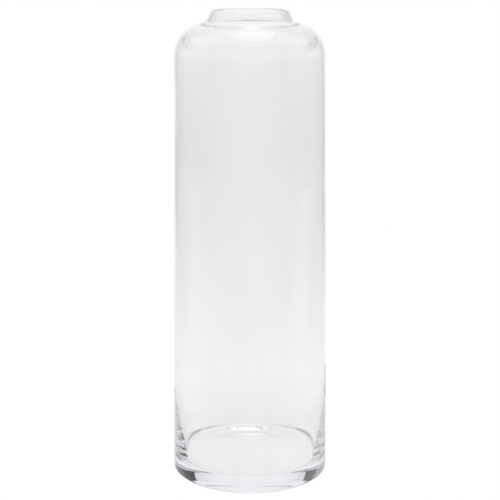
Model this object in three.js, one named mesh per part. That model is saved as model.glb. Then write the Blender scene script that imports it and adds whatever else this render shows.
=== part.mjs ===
// Tall glass cylinder vase: one blown vessel with a heavy base, a straight wall, a round shoulder and a short
// neck that leans in to a fire-polished rim. Millimetres, +Z up, origin at the middle of the foot.
import * as THREE from "three";

// Driving dimensions.
const HEIGHT = 450;
const BODY_RADIUS = 75;
const WALL = 3; // glass thickness of the wall, the shoulder and the foot of the neck

const PUNT_RADIUS = 66; // the underside is pushed up inside this radius, and the foot ring is left outside it
const PUNT_DEPTH = 2.5;
const PUNT_FILLET = 40; // softens the crease between the pushed-up middle and the foot ring
const HEEL_FILLET = 2.6;

const SHOULDER_HEIGHT = 433.3; // where the wall would meet the gently rising top of the shoulder
const SHOULDER_FILLET = 31;
const NECK_BASE_RADIUS = 45;
const NECK_BASE_HEIGHT = 437.4;
const NECK_FILLET = 7;
const RIM_RADIUS = 38.7;
const RIM_WALL = 3.8; // the glass draws up a little thicker at the lip
const RIM_FILLET = 1.45;

const FLOOR_THICKNESS = 13;
const FLOOR_FILLET = 6;
const SWELL_HEIGHT = 55; // where the thickening wall would meet the straight wall if both were straight
const SWELL_LEAN = THREE.MathUtils.degToRad(7); // how far the inner wall leans in below that
const SWELL_FILLET = 500;

const SEGMENTS_ROUND = 72;
const CHORD_ERROR = 0.1; // how far a rounded corner's straight steps may stray from its arc
const DOME_SHARE = 0.95; // how much of the pushed-up middle is dome, before the crease's rounding

// A corner of the cross-section, at a radius and a height, with the fillet that rounds it.
function corner(radius, height, fillet) {
  return { at: new THREE.Vector2(radius, height), fillet };
}

function outerCorners() {
  return [
    corner(PUNT_RADIUS, 0, PUNT_FILLET),
    corner(BODY_RADIUS, 0, HEEL_FILLET),
    corner(BODY_RADIUS, SHOULDER_HEIGHT, SHOULDER_FILLET),
    corner(NECK_BASE_RADIUS, NECK_BASE_HEIGHT, NECK_FILLET),
    corner(RIM_RADIUS, HEIGHT, RIM_FILLET),
  ];
}

function innerCorners() {
  const wallRadius = BODY_RADIUS - WALL;
  const leanIn = (SWELL_HEIGHT - FLOOR_THICKNESS) * Math.tan(SWELL_LEAN);
  return [
    corner(RIM_RADIUS - RIM_WALL, HEIGHT, RIM_FILLET),
    corner(NECK_BASE_RADIUS - WALL, NECK_BASE_HEIGHT - WALL, NECK_FILLET + WALL),
    corner(wallRadius, SHOULDER_HEIGHT - WALL, SHOULDER_FILLET - WALL),
    corner(wallRadius, SWELL_HEIGHT, SWELL_FILLET),
    corner(wallRadius - leanIn, FLOOR_THICKNESS, FLOOR_FILLET),
  ];
}

// Points along the arc that rounds a corner, which lies between the points before and after it.
function roundedCorner(before, { at, fillet }, after) {
  const toBefore = before.clone().sub(at).normalize();
  const toAfter = after.clone().sub(at).normalize();
  const halfAngle = Math.acos(toBefore.dot(toAfter)) / 2;
  const toCentre = toBefore.clone().add(toAfter).setLength(fillet / Math.sin(halfAngle));
  const tangent = fillet / Math.tan(halfAngle);
  const start = toBefore.multiplyScalar(tangent).sub(toCentre);
  const end = toAfter.multiplyScalar(tangent).sub(toCentre);

  const sweep = Math.PI - 2 * halfAngle;
  const longestStep = 2 * Math.acos(1 - CHORD_ERROR / fillet);
  const steps = Math.ceil(sweep / longestStep);
  const clockwise = start.cross(end) < 0;
  const centre = toCentre.add(at);
  const arc = new THREE.EllipseCurve(
    centre.x, centre.y, fillet, fillet, start.angle(), end.angle(), clockwise,
  );
  return arc.getPoints(steps);
}

// The shallow dome of the underside, from the axis out to where the crease's rounding takes over.
function puntPoints() {
  const sphereRadius = (PUNT_RADIUS ** 2 + PUNT_DEPTH ** 2) / (2 * PUNT_DEPTH);
  const sweep = Math.asin((DOME_SHARE * PUNT_RADIUS) / sphereRadius);
  const dome = new THREE.EllipseCurve(
    0, PUNT_DEPTH - sphereRadius, sphereRadius, sphereRadius, Math.PI / 2, Math.PI / 2 - sweep, true,
  );
  return dome.getPoints(4);
}

// Half of the cross-section, from the axis under the foot, up the outside and down the inside to the axis.
function vesselProfile() {
  const underside = puntPoints();
  const floorCentre = new THREE.Vector2(0, FLOOR_THICKNESS);
  const corners = [...outerCorners(), ...innerCorners()];
  const places = [underside.at(-1), ...corners.map((each) => each.at), floorCentre];
  const wall = corners.flatMap((each, i) => roundedCorner(places[i], each, places[i + 2]));
  return [...underside, ...wall, floorCentre];
}

function glassVessel() {
  const geometry = new THREE.LatheGeometry(vesselProfile(), SEGMENTS_ROUND);
  geometry.rotateX(Math.PI / 2); // the lathe turns about Y, and the vase stands along Z
  const clearGlass = new THREE.MeshStandardMaterial({
    color: 0xf0f4f4,
    roughness: 0.02,
    metalness: 0,
    transparent: true,
    opacity: 0.35,
  });
  const vessel = new THREE.Mesh(geometry, clearGlass);
  vessel.name = "glass_vessel";
  return vessel;
}

const vase = new THREE.Group();
vase.add(glassVessel());

export default vase;
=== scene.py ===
import math

import bpy
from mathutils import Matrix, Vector


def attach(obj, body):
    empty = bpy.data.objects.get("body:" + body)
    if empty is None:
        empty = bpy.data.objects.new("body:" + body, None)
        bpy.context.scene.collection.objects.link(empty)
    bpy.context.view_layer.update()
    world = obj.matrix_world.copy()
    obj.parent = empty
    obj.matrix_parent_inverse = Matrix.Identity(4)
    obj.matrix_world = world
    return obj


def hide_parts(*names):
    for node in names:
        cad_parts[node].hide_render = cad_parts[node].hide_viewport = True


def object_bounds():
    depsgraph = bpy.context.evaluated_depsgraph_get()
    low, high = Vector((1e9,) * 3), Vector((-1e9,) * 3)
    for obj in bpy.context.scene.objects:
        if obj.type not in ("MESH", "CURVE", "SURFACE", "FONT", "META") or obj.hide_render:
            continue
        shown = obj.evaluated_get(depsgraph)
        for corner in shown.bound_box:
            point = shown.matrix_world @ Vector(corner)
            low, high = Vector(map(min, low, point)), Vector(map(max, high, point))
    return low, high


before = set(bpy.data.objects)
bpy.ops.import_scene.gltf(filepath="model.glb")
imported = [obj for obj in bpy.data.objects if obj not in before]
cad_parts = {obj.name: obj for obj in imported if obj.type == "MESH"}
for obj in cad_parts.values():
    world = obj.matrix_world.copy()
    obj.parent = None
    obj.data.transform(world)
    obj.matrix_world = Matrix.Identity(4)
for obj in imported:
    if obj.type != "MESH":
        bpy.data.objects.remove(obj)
cad_low, cad_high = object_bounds()

# The vase. Sizes are in metres, and its height and radius come from the frame.
HEIGHT = cad_high.z
BODY_RADIUS = cad_high.x
WALL = 0.003

PUNT_RADIUS = 0.066  # the underside is pushed up inside this radius, and the foot ring is left outside it
PUNT_DEPTH = 0.0025
PUNT_FILLET = 0.04
PUNT_DOME_SHARE = 0.95  # how much of the pushed-up middle is dome, before the crease's rounding
PUNT_STEPS = 15
HEEL_FILLET = 0.0026

SHOULDER_HEIGHT = 0.4333
SHOULDER_FILLET = 0.031
NECK_BASE_RADIUS = 0.045
NECK_BASE_HEIGHT = 0.4374
NECK_FILLET = 0.007
RIM_RADIUS = 0.0387
RIM_WALL = 0.0038
RIM_FILLET = 0.00145

FLOOR_THICKNESS = 0.013
FLOOR_FILLET = 0.006
SWELL_HEIGHT = 0.055  # where the thickening wall would meet the straight wall if both were straight
SWELL_LEAN = math.radians(7)
SWELL_FILLET = 0.5

# The unevenness of the inside. A lobe on the wall has a size, a number of repeats in one turn, a winding in
# radians for each metre of height, and a phase. A lobe on the floor has a number of repeats and a phase.
WALL_WAVE = 0.00013
WALL_LOBES = [(1, 2, 9, 2), (0.6, 3, -23, 2), (0.4, 5, 41, 0)]
WALL_WAVE_CLEAR_OF_FLOOR = 0.04  # the wall's wave grows to its full size over these two distances
WALL_WAVE_CLEAR_OF_RIM = 0.03
FLOOR_WAVE = 0.0001
FLOOR_LOBES = [(3, 0.5), (2, 2)]
FLOOR_WAVE_TOP = 0.02  # the floor's wave dies out over this height
FLOOR_WAVE_CLEAR_OF_AXIS = 0.03  # and grows from nothing over this radius

SEGMENTS_ROUND = 256
LONGEST_STEP = 0.005  # longer runs of the cross-section are split, so that they can follow the unevenness
CHORD_ERROR = 0.000004
FEWEST_ARC_STEPS = 4

# The glass: clear, faintly lavender where it is thick, with faint upright streaks.
REFRACTIVE_INDEX = 1.52
ABSORPTION_COLOUR = (0.7, 0.76, 1.0, 1)
ABSORPTION_DENSITY = 1
STREAK_STRETCH = (1, 1, 0.15)
STREAK_SCALE = 45
STREAK_DETAIL = 2
STREAK_STOPS = [(0.35, 0.985), (0.65, 1)]  # values of the noise, and the glass's brightness at each
GLASS_BOUNCES = 96  # light crosses many faces in the thick base

# The camera stands level in front of the vase, and its lens is shifted down to take the vase in. The lens and
# the sensor are in millimetres, and the shift is a share of the sensor.
CAMERA_DISTANCE = 1.347
CAMERA_HEIGHT = 0.5305
CAMERA_LENS = 97.6
CAMERA_SENSOR = 36
CAMERA_SHIFT = -0.6417
CAMERA_CLIP = (0.05, 60)
XYZ_ROTATION = 1  # how a driver reads a rotation mode of XYZ

# The studio: a glowing white sweep behind the vase, whose light on the glass carries painted shade, a softbox
# above it and a dimmer room around it. It is laid out with the camera towards -Y.
SWEEP_FRONT_HALF_WIDTH = 1.3
SWEEP_BACK_HALF_WIDTH = 1.7
SWEEP_FRONT = -1.5
SWEEP_BACK = 1.5
SWEEP_BEND = 0.4
SWEEP_BEND_STEPS = 16
SWEEP_HEIGHT = 3.0
SWEEP_DROP = 0.0002  # a gap between the sweep and the foot

SOFTBOX_MIDDLE = Vector((0.05, 0.15, 1.5))
SOFTBOX_HALF_WIDTH = 0.35
SOFTBOX_HALF_DEPTH = 0.55
SOFTBOX_SEGMENTS = 48
SOFTBOX_STRENGTH = 1.45

# Fades of the light that the glass gets from the sweep, which paint shade into the sweep's glow. A fade runs
# between two places in metres, which come first, and then come its strengths at the two.
# Painted shade: the floor's glow is dimmer to the sides and in front of the vase.
FLOOR_MIDDLE_PAINTED_SHADE = (0.04, 0.2, 0.955, 0.88)
FLOOR_SIDES_PAINTED_SHADE = (0.2, 0.8, 1.0, 0.74)
FLOOR_BEFORE_VASE_PAINTED_SHADE = (-0.3, 0.0, 0.42, 1.0)
FLOOR_FAR_FRONT_PAINTED_SHADE = (-1.4, -0.35, 0.05, 1.0)
# A painted contact shadow: the floor's glow is dimmer close around the foot.
FLOOR_FOOT_PAINTED_SHADOW = (0.07, 0.3, 0.93, 1.0)
# Painted shade: the wall's glow is dimmer towards the top and to the sides.
WALL_HEIGHTS_PAINTED_SHADE = (0.38, 0.5, 0.955, 0.91)
WALL_SIDES_PAINTED_SHADE = (0.2, 1.2)
WALL_SIDES_PAINTED_SHADE_STRENGTH = 0.65
FLOOR_TO_WALL = (0.02, 0.4, 0.0, 1.0)

# The sweep's wall ends in dark margins of painted shade, which give the base its dark blocks. Only rays that
# climb steeply from the glass meet them, and they fade out towards the top.
LEFT_MARGIN = (-0.96, -0.90, 0.2, 1.0)
RIGHT_MARGIN = (0.90, 0.96, 1.0, 0.02)
MARGIN_SLOPE = (-0.3, -0.2, 0.0, 1.0)
MARGIN_TOP = (0.98, 1.08, 0.0, 1.0)

# Fades of the room's light, by direction: by the angle off the line from the camera through the vase, or by
# the direction's height or its part along X.
ROOM_ANGLES = (math.radians(40), math.radians(130))
ROOM_BELOW_STRENGTHS = (0.6, 0.04)
ROOM_LEVEL_STRENGTHS = (0.9, 0.45)
ROOM_HORIZON = (-0.15, 0.0)
ROOM_OVERHEAD = (0.5, 0.8, 0.0, 0.65)

# The room has a dark flag on each side, beside the sweep.
FLAG_STRENGTHS = (-0.4, 0.4, 0.45, 0.05)
FLAG_BACK_EDGE = (math.radians(46), math.radians(49))
FLAG_FRONT_EDGE = (math.radians(66), math.radians(95))
FLAG_BOTTOM = (0.15, 0.25)
FLAG_TOP = (0.42, 0.50)


# The cross-section: corners joined by straight runs, each corner rounded by a fillet.


def rounded_corner(before, corner, after, fillet):
    """Points along the arc that rounds a corner, which lies between the points before and after it."""
    to_before = (before - corner).normalized()
    to_after = (after - corner).normalized()
    half_angle = to_before.angle(to_after) / 2
    to_centre = (to_before + to_after).normalized() * (fillet / math.sin(half_angle))
    tangent = fillet / math.tan(half_angle)
    start = to_before * tangent - to_centre
    end = to_after * tangent - to_centre
    arc = math.pi - 2 * half_angle
    longest_step = 2 * math.acos(1 - CHORD_ERROR / fillet)
    steps = max(FEWEST_ARC_STEPS, math.ceil(arc / longest_step))
    points = []
    for i in range(steps + 1):
        t = i / steps
        spoke = (start * math.sin((1 - t) * arc) + end * math.sin(t * arc)) / math.sin(arc)
        points.append(corner + to_centre + spoke)
    return points


def long_runs_split(points):
    split = [points[0]]
    for a, b in zip(points, points[1:]):
        pieces = math.ceil((b - a).length / LONGEST_STEP)
        split += [a.lerp(b, i / pieces) for i in range(1, pieces + 1)]
    return split


def outer_corners():
    """Corners as (radius, height, fillet), from the underside up to the rim."""
    return [
        (PUNT_RADIUS, 0, PUNT_FILLET),
        (BODY_RADIUS, 0, HEEL_FILLET),
        (BODY_RADIUS, SHOULDER_HEIGHT, SHOULDER_FILLET),
        (NECK_BASE_RADIUS, NECK_BASE_HEIGHT, NECK_FILLET),
        (RIM_RADIUS, HEIGHT, RIM_FILLET),
    ]


def inner_corners():
    """Corners as (radius, height, fillet), from the rim down to the floor."""
    wall_radius = BODY_RADIUS - WALL
    lean_in = (SWELL_HEIGHT - FLOOR_THICKNESS) * math.tan(SWELL_LEAN)
    return [
        (RIM_RADIUS - RIM_WALL, HEIGHT, RIM_FILLET),
        (NECK_BASE_RADIUS - WALL, NECK_BASE_HEIGHT - WALL, NECK_FILLET + WALL),
        (wall_radius, SHOULDER_HEIGHT - WALL, SHOULDER_FILLET - WALL),
        (wall_radius, SWELL_HEIGHT, SWELL_FILLET),
        (wall_radius - lean_in, FLOOR_THICKNESS, FLOOR_FILLET),
    ]


def punt_dome():
    """The shallow dome of the underside, from the axis out to where the crease's rounding takes over."""
    sphere = (PUNT_RADIUS**2 + PUNT_DEPTH**2) / (2 * PUNT_DEPTH)
    radii = [PUNT_DOME_SHARE * PUNT_RADIUS * i / PUNT_STEPS for i in range(PUNT_STEPS + 1)]
    return [Vector((r, PUNT_DEPTH - sphere + math.sqrt(sphere**2 - r**2))) for r in radii]


def vessel_profile():
    """Half of the cross-section, from the axis under the foot, up the outside and down the inside."""
    underside = punt_dome()
    floor_centre = Vector((0, FLOOR_THICKNESS))
    corners = outer_corners() + inner_corners()
    places = [underside[-1]] + [Vector((radius, height)) for radius, height, _ in corners] + [floor_centre]
    points = list(underside)
    for i, (_, _, fillet) in enumerate(corners):
        points += rounded_corner(places[i], places[i + 1], places[i + 2], fillet)
    points.append(floor_centre)
    return long_runs_split(points)


def unevenness(turn, radius, height):
    """How far the inside of blown glass strays outwards and upwards from a true round."""
    above_floor = height - FLOOR_THICKNESS
    below_rim = HEIGHT - height
    on_wall = min(1, above_floor / WALL_WAVE_CLEAR_OF_FLOOR, below_rim / WALL_WAVE_CLEAR_OF_RIM)
    outward = 0
    for size, repeats, winding, phase in WALL_LOBES:
        outward += size * math.sin(repeats * turn + winding * height + phase)
    on_floor = max(0, 1 - above_floor / FLOOR_WAVE_TOP) * min(1, radius / FLOOR_WAVE_CLEAR_OF_AXIS)
    upward = sum(math.sin(repeats * turn + phase) for repeats, phase in FLOOR_LOBES)
    return WALL_WAVE * outward * on_wall, FLOOR_WAVE * upward * on_floor


def new_object(name, vertices, faces, material):
    mesh = bpy.data.meshes.new(name)
    mesh.from_pydata(vertices, [], faces)
    mesh.validate()
    mesh.materials.append(material)
    piece = bpy.data.objects.new(name, mesh)
    bpy.context.scene.collection.objects.link(piece)
    return piece


def lathe_vertices(profile):
    """The end on the axis under the foot, a ring for each point between, and the end on the floor."""
    top_of_rim = max(range(len(profile)), key=lambda i: profile[i].y)
    vertices = [(0, 0, profile[0].y)]
    for i, point in enumerate(profile[1:-1], 1):
        inside = i > top_of_rim
        for j in range(SEGMENTS_ROUND):
            turn = 2 * math.pi * j / SEGMENTS_ROUND
            outward, upward = unevenness(turn, *point) if inside else (0, 0)
            radius = point.x + outward
            vertices.append((radius * math.cos(turn), radius * math.sin(turn), point.y + upward))
    vertices.append((0, 0, profile[-1].y))
    return vertices


def lathe_faces(rings):
    """A fan under the foot, quads between the rings and a fan over the floor."""
    faces = []
    last_ring = 1 + (rings - 1) * SEGMENTS_ROUND
    floor_centre = 1 + rings * SEGMENTS_ROUND
    for j in range(SEGMENTS_ROUND):
        k = (j + 1) % SEGMENTS_ROUND
        faces.append((0, 1 + k, 1 + j))
        for i in range(rings - 1):
            a = 1 + i * SEGMENTS_ROUND
            b = a + SEGMENTS_ROUND
            faces.append((a + j, a + k, b + k, b + j))
        faces.append((last_ring + j, last_ring + k, floor_centre))
    return faces


def lathe(name, profile, material):
    rings = len(profile) - 2
    piece = new_object(name, lathe_vertices(profile), lathe_faces(rings), material)
    piece.data.polygons.foreach_set("use_smooth", [True] * len(piece.data.polygons))
    return piece


def glass_material():
    material = bpy.data.materials.new("clear_glass")
    material.use_nodes = True
    nodes = material.node_tree.nodes
    links = material.node_tree.links
    shader = nodes["Principled BSDF"]
    shader.inputs["Transmission Weight"].default_value = 1
    shader.inputs["IOR"].default_value = REFRACTIVE_INDEX
    shader.inputs["Roughness"].default_value = 0

    place = nodes.new("ShaderNodeTexCoord")
    stretch = nodes.new("ShaderNodeMapping")
    stretch.inputs["Scale"].default_value = STREAK_STRETCH
    links.new(place.outputs["Object"], stretch.inputs["Vector"])
    streaks = nodes.new("ShaderNodeTexNoise")
    streaks.inputs["Scale"].default_value = STREAK_SCALE
    streaks.inputs["Detail"].default_value = STREAK_DETAIL
    links.new(stretch.outputs["Vector"], streaks.inputs["Vector"])
    tint = nodes.new("ShaderNodeValToRGB")
    for stop, (position, brightness) in zip(tint.color_ramp.elements, STREAK_STOPS):
        stop.position = position
        stop.color = (brightness, brightness, brightness, 1)
    links.new(streaks.outputs["Fac"], tint.inputs["Fac"])
    links.new(tint.outputs["Color"], shader.inputs["Base Color"])

    volume = nodes.new("ShaderNodeVolumeAbsorption")
    volume.inputs["Color"].default_value = ABSORPTION_COLOUR
    volume.inputs["Density"].default_value = ABSORPTION_DENSITY
    links.new(volume.outputs[0], nodes["Material Output"].inputs["Volume"])
    return material


# The studio.


class Sums:
    """Sums in a node tree, with a node for each step."""

    def __init__(self, tree):
        self.tree = tree

    def feed(self, given, socket):
        if isinstance(given, (int, float)):
            socket.default_value = given
        else:
            self.tree.links.new(given, socket)

    def value(self, operation, *inputs):
        node = self.tree.nodes.new("ShaderNodeMath")
        node.operation = operation
        for socket, given in zip(node.inputs, inputs):
            self.feed(given, socket)
        return node.outputs[0]

    def product(self, first, *others):
        for other in others:
            first = self.value("MULTIPLY", first, other)
        return first

    def ramp(self, given, low, high, at_low, at_high):
        node = self.tree.nodes.new("ShaderNodeMapRange")
        node.interpolation_type = "SMOOTHSTEP"
        self.feed(given, node.inputs["Value"])
        limits = {"From Min": low, "From Max": high, "To Min": at_low, "To Max": at_high}
        for name, limit in limits.items():
            self.feed(limit, node.inputs[name])
        return node.outputs[0]

    def split(self, vector):
        node = self.tree.nodes.new("ShaderNodeSeparateXYZ")
        self.tree.links.new(vector, node.inputs[0])
        return node.outputs["X"], node.outputs["Y"], node.outputs["Z"]

    def length(self, vector):
        node = self.tree.nodes.new("ShaderNodeVectorMath")
        node.operation = "LENGTH"
        self.tree.links.new(vector, node.inputs[0])
        return node.outputs["Value"]


def lamp_material(name):
    """A lamp's material, and the input for its strength."""
    material = bpy.data.materials.new(name)
    material.use_nodes = True
    tree = material.node_tree
    tree.nodes.clear()
    light = tree.nodes.new("ShaderNodeEmission")
    output = tree.nodes.new("ShaderNodeOutputMaterial")
    tree.links.new(light.outputs[0], output.inputs["Surface"])
    return material, light.inputs["Strength"]


# Painted shade: dark margins in the wall's glow, which only rays climbing steeply from the glass meet.
def painted_dark_margins(sums, x, z, incoming):
    dark = sums.product(sums.ramp(x, *LEFT_MARGIN), sums.ramp(x, *RIGHT_MARGIN))
    _, _, slope = sums.split(incoming)
    faded = sums.value("MAXIMUM", sums.ramp(slope, *MARGIN_SLOPE), sums.ramp(z, *MARGIN_TOP))
    return sums.value("MAXIMUM", dark, faded)


def sweep_material():
    """Glows white to the camera, and carries painted shade and a painted contact shadow in the light that the
    glass gets from it.
    """
    material, strength = lamp_material("stage_white_painted_shade")
    tree = material.node_tree
    sums = Sums(tree)
    place = tree.nodes.new("ShaderNodeTexCoord").outputs["Object"]
    x, y, z = sums.split(place)
    off_centre = sums.value("ABSOLUTE", x)
    incoming = tree.nodes.new("ShaderNodeNewGeometry").outputs["Incoming"]

    # Painted shade in the floor's glow, with a painted contact shadow around the foot.
    on_floor = sums.product(
        sums.ramp(off_centre, *FLOOR_MIDDLE_PAINTED_SHADE),
        sums.ramp(off_centre, *FLOOR_SIDES_PAINTED_SHADE),
        sums.ramp(y, *FLOOR_BEFORE_VASE_PAINTED_SHADE),
        sums.ramp(y, *FLOOR_FAR_FRONT_PAINTED_SHADE),
        sums.ramp(sums.length(place), *FLOOR_FOOT_PAINTED_SHADOW),
    )
    # Painted shade in the wall's glow, with its dark margins.
    on_wall = sums.product(
        painted_dark_margins(sums, x, z, incoming),
        sums.ramp(off_centre, *WALL_SIDES_PAINTED_SHADE, sums.ramp(z, *WALL_HEIGHTS_PAINTED_SHADE), WALL_SIDES_PAINTED_SHADE_STRENGTH),
    )
    wall_share = sums.ramp(z, *FLOOR_TO_WALL)
    floor_share = sums.value("SUBTRACT", 1, wall_share)
    glow_with_painted_shade = sums.value("ADD", sums.product(on_wall, wall_share), sums.product(on_floor, floor_share))

    seen_directly = tree.nodes.new("ShaderNodeLightPath").outputs["Is Camera Ray"]
    sums.feed(sums.value("MAXIMUM", seen_directly, glow_with_painted_shade), strength)
    return material


def sweep(table):
    """A floor that bends up into a wall, as rows of (half width, y, z)."""
    flat_back = SWEEP_BACK - SWEEP_BEND
    rows = [(SWEEP_FRONT_HALF_WIDTH, SWEEP_FRONT, 0), (SWEEP_BACK_HALF_WIDTH, flat_back, 0)]
    for i in range(1, SWEEP_BEND_STEPS + 1):
        turn = math.pi / 2 * i / SWEEP_BEND_STEPS
        y = flat_back + SWEEP_BEND * math.sin(turn)
        z = SWEEP_BEND * (1 - math.cos(turn))
        rows.append((SWEEP_BACK_HALF_WIDTH, y, z))
    rows.append((SWEEP_BACK_HALF_WIDTH, SWEEP_BACK, SWEEP_HEIGHT))

    vertices = []
    for half_width, y, z in rows:
        vertices += [(-half_width, y, z), (half_width, y, z)]
    faces = [(2 * i, 2 * i + 1, 2 * i + 3, 2 * i + 2) for i in range(len(rows) - 1)]
    sheet = new_object("stage_floor", vertices, faces, sweep_material())
    sheet.location.z = cad_low.z - SWEEP_DROP
    sheet.parent = table


def softbox(table):
    disc = []
    for i in range(SOFTBOX_SEGMENTS):
        turn = 2 * math.pi * i / SOFTBOX_SEGMENTS
        spoke = Vector((SOFTBOX_HALF_WIDTH * math.cos(turn), SOFTBOX_HALF_DEPTH * math.sin(turn), 0))
        disc.append(SOFTBOX_MIDDLE + spoke)
    face = tuple(range(SOFTBOX_SEGMENTS))
    material, strength = lamp_material("stage_softbox")
    strength.default_value = SOFTBOX_STRENGTH
    lamp = new_object("stage_softbox_top", disc, [face], material)
    lamp.parent = table
    lamp.visible_camera = False  # so that a view from above looks past it


def turntable(cam):
    """The studio stands on this, and it turns to keep the camera in front."""
    table = bpy.data.objects.new("studio_turntable", None)
    bpy.context.scene.collection.objects.link(table)
    track = table.constraints.new("LOCKED_TRACK")
    track.target = cam
    track.track_axis = "TRACK_NEGATIVE_Y"
    track.lock_axis = "LOCK_Z"
    return table


def room(table):
    """The light around the studio, for each direction as the turntable sees it."""
    world = bpy.data.worlds.new("room")
    bpy.context.scene.world = world
    world.use_nodes = True
    tree = world.node_tree
    sums = Sums(tree)
    place = tree.nodes.new("ShaderNodeTexCoord")
    place.object = table
    x, y, z = sums.split(place.outputs["Object"])
    angle = sums.value("ABSOLUTE", sums.value("ARCTAN2", x, y))

    below = sums.ramp(angle, *ROOM_ANGLES, *ROOM_BELOW_STRENGTHS)
    level = sums.ramp(angle, *ROOM_ANGLES, *ROOM_LEVEL_STRENGTHS)
    walls = sums.ramp(z, *ROOM_HORIZON, below, level)

    flags = sums.ramp(x, *FLAG_STRENGTHS)
    flags = sums.ramp(angle, *FLAG_FRONT_EDGE, flags, 1)
    flags = sums.ramp(angle, *FLAG_BACK_EDGE, 1, flags)
    flags = sums.ramp(z, *FLAG_BOTTOM, 1, flags)
    flags = sums.ramp(z, *FLAG_TOP, flags, 1)

    background = tree.nodes["Background"]
    background.inputs["Color"].default_value = (1, 1, 1, 1)
    strength = sums.value("MAXIMUM", sums.product(walls, flags), sums.ramp(z, *ROOM_OVERHEAD))
    sums.feed(strength, background.inputs["Strength"])


def studio(cam):
    table = turntable(cam)
    sweep(table)
    softbox(table)
    room(table)


def shift_lens(cam):
    """Shifts the lens down while the camera keeps the place and rotation that it is given here. A view that
    moves the camera turns it by a quaternion and aims it at the vase, so there the shift is off."""
    driver = cam.data.driver_add("shift_y").driver
    driver.type = "SCRIPTED"
    mode = driver.variables.new()
    mode.name = "mode"
    mode.targets[0].id = cam
    mode.targets[0].data_path = "rotation_mode"
    driver.expression = f"{CAMERA_SHIFT} if mode == {XYZ_ROTATION} else 0"


def camera():
    data = bpy.data.cameras.new("camera")
    data.lens = CAMERA_LENS
    data.sensor_width = CAMERA_SENSOR
    data.clip_start, data.clip_end = CAMERA_CLIP
    cam = bpy.data.objects.new("camera", data)
    bpy.context.scene.collection.objects.link(cam)
    cam.location = (0, -CAMERA_DISTANCE, CAMERA_HEIGHT)
    cam.rotation_euler = (math.pi / 2, 0, 0)
    shift_lens(cam)
    bpy.context.scene.camera = cam
    return cam


vase = lathe("vase", vessel_profile(), glass_material())
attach(vase, "root")
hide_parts("glass_vessel")
studio(camera())

scene = bpy.context.scene
scene.view_settings.view_transform = "Standard"
scene.cycles.max_bounces = GLASS_BOUNCES
scene.cycles.transmission_bounces = GLASS_BOUNCES
scene.cycles.glossy_bounces = GLASS_BOUNCES
